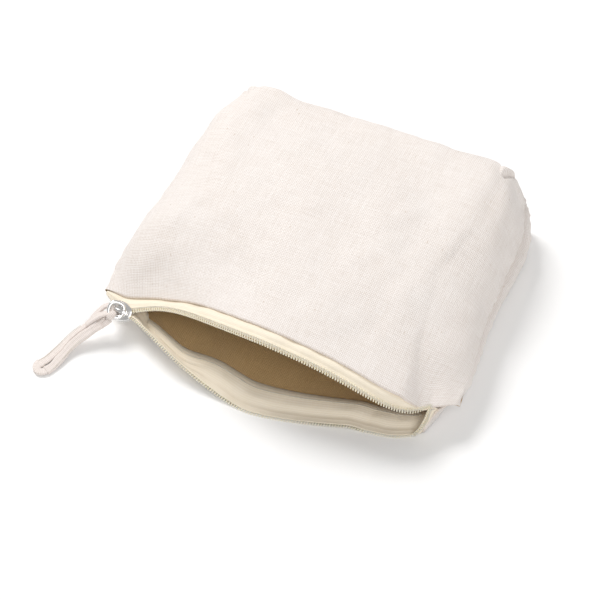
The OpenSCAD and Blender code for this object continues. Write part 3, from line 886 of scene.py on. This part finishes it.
def slider_outline():
    """A shield: wide shoulders at the open mouths' end and a narrower nose."""
    a = np.linspace(0, 2 * math.pi, 72, endpoint=False)
    x = 6.5 * np.cos(a) * rounded(a, 3.4)
    wide = 5.55 - 1.7 * ease(-0.5, 6.5, x) - 2.2 * ease(-3.0, -6.5, x)
    return np.stack([x, wide * np.sin(a) * rounded(a, 3.4)], -1)


def plate(name, z0, z1, dome=0.35, lips=0.0):
    """A rounded cast plate with a soft edge; lips turns its sides towards the other plate."""
    out = slider_outline()
    away = np.sign(z1 - z0)
    prof = [
        (0.0, z0), (0.55, z0), (0.93, z0), (0.985, z0 + 0.12 * away), (1.0, (z0 + z1) / 2),
        (0.98, z1 - 0.2 * away), (0.92, z1), (0.55, z1 + dome * 0.7 * away), (0.0, z1 + dome * away)]
    rings = []
    for k, (f, z) in enumerate(prof):
        q = out * max(f, 0.02)
        zz = np.full(len(q), z)
        if lips and 1 < k < 6:
            turn = ease(3.4, 5.0, np.abs(q[:, 1])) * (np.abs(q[:, 0]) < 5.4)
            zz = zz - lips * turn * away
        rings.append(np.concatenate([q, zz[:, None]], 1))
    rings = np.array(rings)
    faces = bar_faces(*rings.shape[:2])
    if z1 < z0:
        faces = [f[::-1] for f in faces]
    return new_mesh(name, to_world(rings.reshape(-1, 3)), faces)


def make_bridge(name):
    """A flattened arch from nose to tail over the top plate."""
    turns = np.linspace(0, math.pi, 25)
    last = len(turns) - 1
    arch = np.stack([4.1 * np.cos(turns), 0 * turns, 2.35 + 3.0 * np.sin(turns) ** 0.55], -1)
    a = np.linspace(0, 2 * math.pi, 14, endpoint=False)
    rings = []
    for i, p in enumerate(arch):
        t = unit(arch[min(i + 1, last)] - arch[max(i - 1, 0)])
        out = np.array([-t[2], 0, t[0]])
        if out[2] <= -0.2 and abs(out[0]) <= 0.8:
            out = -out
        across = (1.25 - 0.25 * math.sin(turns[i])) * np.cos(a) * rounded(a, 3.2)
        over = 0.5 * np.sin(a) * rounded(a, 3.2)
        rings.append(p + across[:, None] * np.array([0, 1.0, 0]) + over[:, None] * out)
    rings = to_world(np.array(rings))
    return paint(new_mesh(name, rings.reshape(-1, 3), bar_faces(*rings.shape[:2])), METAL)


top_plate = plate("slider_top", 1.1, 2.3, 0.3, 0.55)
low_plate = plate("slider_low", -1.1, -2.3, 0.2, 0.4)
post_path = to_world(np.array([[3.3, 0, z] for z in np.linspace(-1.3, 1.3, 5)]))
post = tube("slider_post", post_path, 1.35, 20)
slider = paint(join("slider_casting", [top_plate, low_plate, post]), METAL)
bridge = make_bridge("slider_arch")

# ---------------------------------------------------------------- ring and strap
PIVOT_X, PIVOT_H, RING_R, WIRE_R = 2.1, 3.57, 4.0, 1.02
RING_UP, BETA = math.radians(25), math.radians(68)


def ring_frame(v):
    """Ring plane coordinates, centred on the ring, to the row frame."""
    v = np.asarray(v, float)
    x, y, z = v[..., 0] - RING_R, v[..., 1], v[..., 2]
    c, s = math.cos(RING_UP), math.sin(RING_UP)
    return to_world(np.stack([x * c + z * s + PIVOT_X, y, -x * s + z * c + PIVOT_H], -1))


def make_ring(name):
    """A wire ring, a little squared."""
    a = np.linspace(0, 2 * math.pi, 72, endpoint=False)
    r = RING_R * rounded(a, 2.5)
    path = ring_frame(np.stack([r * np.cos(a), r * np.sin(a), 0 * a], -1))
    return paint(tube(name, path, WIRE_R, 14, closed=True), METAL)


ring = make_ring("ring_wire")

knot = ring_frame(np.array([-RING_R * math.cos(BETA), -RING_R * math.sin(BETA), 0]))
knot_axis = unit(ring_frame(np.array([math.sin(BETA), -math.cos(BETA), 0])) - ring_frame(np.zeros(3)))
TIP = np.array([-113.0, -124.0, 0.95])
run = unit(np.array([TIP[0] - knot[0], TIP[1] - knot[1], 0]))
side_v = np.array([run[1], -run[0], 0])


def strap_strip(name, pts, width, thick, roll, seed):
    """A folded canvas strip: a soft bar along points, with a shallow groove along its face."""
    s = arc_length(pts)
    tan = unit(np.gradient(pts, axis=0))
    flat = unit(np.cross(tan, np.array([0, 0, 1.0])))
    up = np.cross(flat, tan)
    w = width / 2 * (1 + 0.05 * waves(s, 0 * s, seed, 4, 6, 18))
    t = thick / 2 * (1 + 0.08 * waves(s, 0 * s, seed + 1, 4, 5, 14))
    a = np.linspace(0, 2 * math.pi, 28, endpoint=False)
    across, over = np.cos(a) * rounded(a, 3.0), np.sin(a) * rounded(a, 3.0)
    over = over * (1 - 0.22 * bell(across, 0.28) * np.where(np.sin(a) > 0, 1, 0.3))
    rings, uvs = [], []
    for i, p in enumerate(pts):
        f = flat[i] * math.cos(roll[i]) + up[i] * math.sin(roll[i])
        g = -flat[i] * math.sin(roll[i]) + up[i] * math.cos(roll[i])
        ring_at = f * (w[i] * across)[:, None] + g * (t[i] * over)[:, None]
        rings.append(p + ring_at)
        uvs.append(np.stack([arc_length(ring_at), np.full(len(a), s[i])], -1))
    rings, uvs = np.array(rings), np.array(uvs)
    return paint(new_mesh(name, rings.reshape(-1, 3), bar_faces(*rings.shape[:2]), uvs.reshape(-1, 2)), STRAP)


def catmull(pts, per=12):
    """A smooth curve through points."""
    pts = np.asarray(pts, float)
    ext = np.vstack([2 * pts[0] - pts[1], pts, 2 * pts[-1] - pts[-2]])
    out = []
    for i in range(len(pts) - 1):
        p0, p1, p2, p3 = ext[i:i + 4]
        for t in np.linspace(0, 1, per, endpoint=False):
            out.append(0.5 * (2 * p1 + (p2 - p0) * t + (2 * p0 - 5 * p1 + 4 * p2 - p3) * t * t
                              + (3 * p1 - p0 - 3 * p2 + p3) * t**3))
    out.append(pts[-1])
    return np.array(out)


def along(t, off, z):
    """A point on the strap: t from the knot to the tip, off to the right of its run."""
    base = knot + (TIP - knot) * t
    return np.array([base[0], base[1], 0]) + side_v * off + np.array([0, 0, z])


def sag(t):
    """Height of the strap's middle: it hangs from the ring and comes to lie on the table."""
    return TIP[2] + (knot[2] - TIP[2]) * max(0.0, 1 - t) ** 2.6 * (1 + 0.4 * t)


def strap_route(*points, per=10):
    """A smooth route through points given as: along the strap, off its line, and up from its middle."""
    return catmull([along(t, off, sag(t) + up) for t, off, up in points], per)


def strap_piece(name, route, wide, thick, roll, seed):
    """A strip along a route; wide, thick and roll are values spread evenly from its start to its end."""
    at = np.linspace(0, 1, len(route))
    spread = [np.interp(at, np.linspace(0, 1, len(v)), v) for v in (wide, thick, roll)]
    return strap_strip(name, route, *spread, seed)


def ring_loop(name, wide, thick, radius):
    """The flat loop that holds the strap on the ring."""
    e1 = unit(run - knot_axis * np.dot(run, knot_axis))
    e2 = np.cross(knot_axis, e1)
    th = np.linspace(-2.9, 2.9, 44) + math.pi
    out = np.cos(th)[:, None] * e1 + np.sin(th)[:, None] * e2
    a = np.linspace(0, 2 * math.pi, 20, endpoint=False)
    across = (wide / 2 * np.cos(a) * rounded(a, 3))[:, None] * knot_axis
    deep = thick / 2 * np.sin(a) * rounded(a, 3)
    rings = (knot + out * radius)[:, None] + across[None] + deep[None, :, None] * out[:, None]
    uv = np.stack(np.broadcast_arrays(a[None, :] * 1.5, th[:, None] * radius), -1)
    ob = new_mesh(name, rings.reshape(-1, 3), bar_faces(*rings.shape[:2]), uv.reshape(-1, 2))
    return paint(ob, STRAP)


upper = strap_route(
    (0.1, 4.9, 0.2), (0.18, 6.0, 0.2), (0.3, 7.0, 0.2), (0.4, 7.5, 0.2), (0.52, 7.0, 0.3),
    (0.62, 6.0, 0.35), (0.72, 5.1, 0.35), (0.82, 4.3, 0.3), (0.9, 4.3, 0.25), (0.94, 4.1, 0.3))
lower = strap_route(
    (0.125, 0.6, -0.4), (0.19, 1.6, 0.0), (0.28, 2.4, 0.2), (0.4, 3.1, 0.3), (0.52, 2.7, 0.4),
    (0.62, 1.4, 0.4), (0.72, 0.0, 0.4), (0.83, -1.5, 0.3), (0.92, -1.6, 0.3))
bend = strap_route(
    (0.9, 4.4, 0.25), (0.955, 3.7, 0.3), (0.985, 1.9, 0.3), (0.98, -0.1, 0.3), (0.94, -1.4, 0.3),
    (0.88, -1.6, 0.3), per=8)
pieces = [
    strap_piece("leg_upper", upper, (3.9, 3.6, 3.3, 3.2, 3.4, 4.2, 4.9, 5.2, 4.6, 4.4), (1.7,),
                (-0.35, -0.25, -0.15, -0.1, 0.0), 61),
    strap_piece("leg_lower", lower, (4.4, 4.9, 5.1, 5.0, 4.9, 4.8, 4.9, 4.9, 4.8), (3.2, 2.8, 2.5, 2.3, 2.2),
                (0.5, 0.35, 0.25, 0.15, 0.1), 63),
    strap_piece("tip_bend", bend, (5.6, 4.9, 4.4, 4.5, 5.0), (1.75, 2.1, 2.1, 2.2), (0.0,), 65),
    ring_loop("ring_loop", 3.5, 1.5, 2.2)]

# the loose half knot: its end crosses over the legs, and the rest of it is tucked behind and under
band = strap_route((-0.01, 0.2, 0.9), (0.04, 2.0, 2.2), (0.1, 3.8, 2.6), (0.17, 5.4, 2.0), (0.25, 6.6, 0.8))
back = strap_route((-0.03, 1.4, 0.8), (-0.05, 4.4, 0.6), (0.0, 6.9, 0.2), (0.08, 7.3, 0.2), (0.17, 6.6, 0.2))
tuck = strap_route((0.03, -0.9, -0.9), (0.07, -0.6, -0.7), (0.12, 0.2, -0.6), (0.18, 1.0, -0.3))
pinch = strap_route((0.035, 3.6, -0.4), (0.09, 2.2, 0.3), (0.15, 2.4, 0.2))
pieces += [
    strap_piece("knot_band", band, (3.2, 3.6, 3.8, 3.6), (1.8,), (0.2, -0.2, -0.3), 67),
    strap_piece("knot_back", back, (2.8, 3.2, 3.4, 3.6), (1.9,), (0.1, -0.2, -0.3), 73),
    strap_piece("knot_tuck", tuck, (2.9, 3.2, 3.4), (2.3,), (0.4,), 69),
    strap_piece("knot_pinch", pinch, (2.6, 3.2, 3.0), (2.4,), (-0.2,), 71)]
strap = paint(join("strap_cloth", pieces), STRAP)

# sewing along the strap's edges
STITCH = 2.4
st = []
for leg, off in ((upper, 1.6), (lower, -1.7)):
    p = leg[20:-4]
    s = arc_length(p)
    kk = np.linspace(0, s[-1], int(s[-1] / STITCH) * 8)
    q = np.stack([np.interp(kk, s, p[:, i]) for i in range(3)], -1) + side_v * off
    q[:, 2] += 0.7 + 0.12 * np.abs(np.sin(math.pi * kk / STITCH))
    st.append(paint(tube("st", q, 0.13, 5), THREAD))
strap_sewing = join("strap_sewing", st)

# ---------------------------------------------------------------- bodies
def finish_piece(ob, slot, body, *nodes):
    """Hide the CAD nodes a piece replaces, and attach it to the body it rides on; slot is not used."""
    if nodes:
        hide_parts(*nodes)
    if body:
        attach(ob, body)
    return ob


def lip_blend(ob, side):
    """Bake the object's transform into its mesh, the same for either side."""
    if side > 0:
        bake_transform(ob)
    else:
        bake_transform(ob)


finish_piece(FRONT, "canvas", None, "front_panel")
finish_piece(BACK, "canvas", None, "back_panel")
lip_blend(FRONT, 1)
lip_blend(BACK, -1)
for side, tag in ((1, "front"), (-1, "back")):
    finish_piece(parts["tape", side], "zip_tape", None, "zip_tape_" + tag)
    finish_piece(parts["coil", side], "coil", None, "coil_" + tag)
    finish_piece(parts["sew", side], "thread", None)
    finish_piece(parts["thread", side], "thread", None, "zip_seam_" + tag)
    for key in ("tape", "coil", "sew", "thread"):
        lip_blend(parts[key, side], side)
for nm, cloth, over in inner_bits:
    finish_piece(cloth, "canvas", "pouch", nm)
    finish_piece(over, "thread", "pouch", nm.replace("allowance", "overlock"))
finish_piece(slider, "slider_metal", "slider", "slider_body")
finish_piece(bridge, "slider_metal", "slider", "slider_bridge")
finish_piece(ring, "slider_metal", "ring", "pull_ring")
finish_piece(strap, "strap_canvas", "strap", "pull_strap")
finish_piece(strap_sewing, "thread", "strap", "strap_stitching")

# ---------------------------------------------------------------- floor and light
bpy.ops.mesh.primitive_plane_add(size=6.0, location=(0, 0, 0))
floor = bpy.context.active_object
floor.name = "floor"
fm = Nodes("floor_white")
fm.bsdf.inputs["Base Color"].default_value = (0.97, 0.97, 0.97, 1)
fm.bsdf.inputs["Roughness"].default_value = 0.9
fm.bsdf.inputs["Specular IOR Level"].default_value = 0.1
paint(floor, fm.mat)

bpy.context.scene.view_settings.view_transform = "Standard"
world = bpy.data.worlds.new("studio")
bpy.context.scene.world = world
world.use_nodes = True
bg = world.node_tree.nodes["Background"]
bg.inputs[0].default_value = (1.0, 0.995, 0.985, 1)
bg.inputs[1].default_value = 0.47


def area(name, where, size, power, color=(1, 1, 1)):
    """A round lamp aimed at the middle of the table."""
    ld = bpy.data.lights.new(name, "AREA")
    ld.shape = "DISK"
    ld.size = size
    ld.energy = power
    ld.color = color
    lo = bpy.data.objects.new(name, ld)
    bpy.context.scene.collection.objects.link(lo)
    lo.location = where
    lo.rotation_euler = Vector(-np.array(where)).to_track_quat("-Z", "Y").to_euler()
    return lo


area("key", (-0.9, 0.55, 1.35), 0.8, 19.2, (1.0, 0.992, 0.985))
area("fill", (0.9, -1.0, 1.2), 1.4, 10.6, (1.0, 0.995, 0.99))
